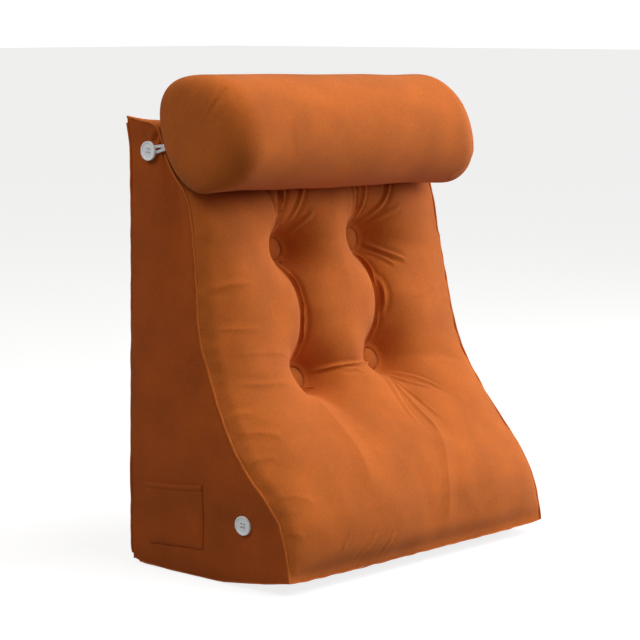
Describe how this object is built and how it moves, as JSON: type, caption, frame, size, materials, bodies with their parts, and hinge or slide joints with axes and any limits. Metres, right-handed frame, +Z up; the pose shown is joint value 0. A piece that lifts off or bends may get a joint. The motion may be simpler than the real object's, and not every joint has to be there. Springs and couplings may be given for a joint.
{
  "type": "backrest pillow",
  "caption": "Wedge-shaped backrest pillow with a tufted, buttoned front panel and a bolster held on by elastic loops over side buttons.",
  "frame": {"origin": "on the floor, under the middle of the wedge's base", "axes": "+X across to the object's right as seen from the front, +Y to its back, +Z up"},
  "size_m": [0.5121, 0.2895, 0.6235],
  "materials": {
    "cover_fabric": "matte",
    "button_plastic": "satin",
    "elastic_band": "matte"
  },
  "bodies": {
    "root": {"wedge_cushion": "cover_fabric", "bolster": "cover_fabric", "tuft_button_upper_left": "cover_fabric", "tuft_button_upper_right": "cover_fabric", "tuft_button_lower_left": "cover_fabric", "tuft_button_lower_right": "cover_fabric", "side_pocket": "cover_fabric", "side_button_upper_left": "button_plastic", "side_button_upper_right": "button_plastic", "side_button_lower_left": "button_plastic", "side_button_lower_right": "button_plastic", "elastic_loop_left": "elastic_band", "elastic_loop_right": "elastic_band"}
  },
  "joints": []
}
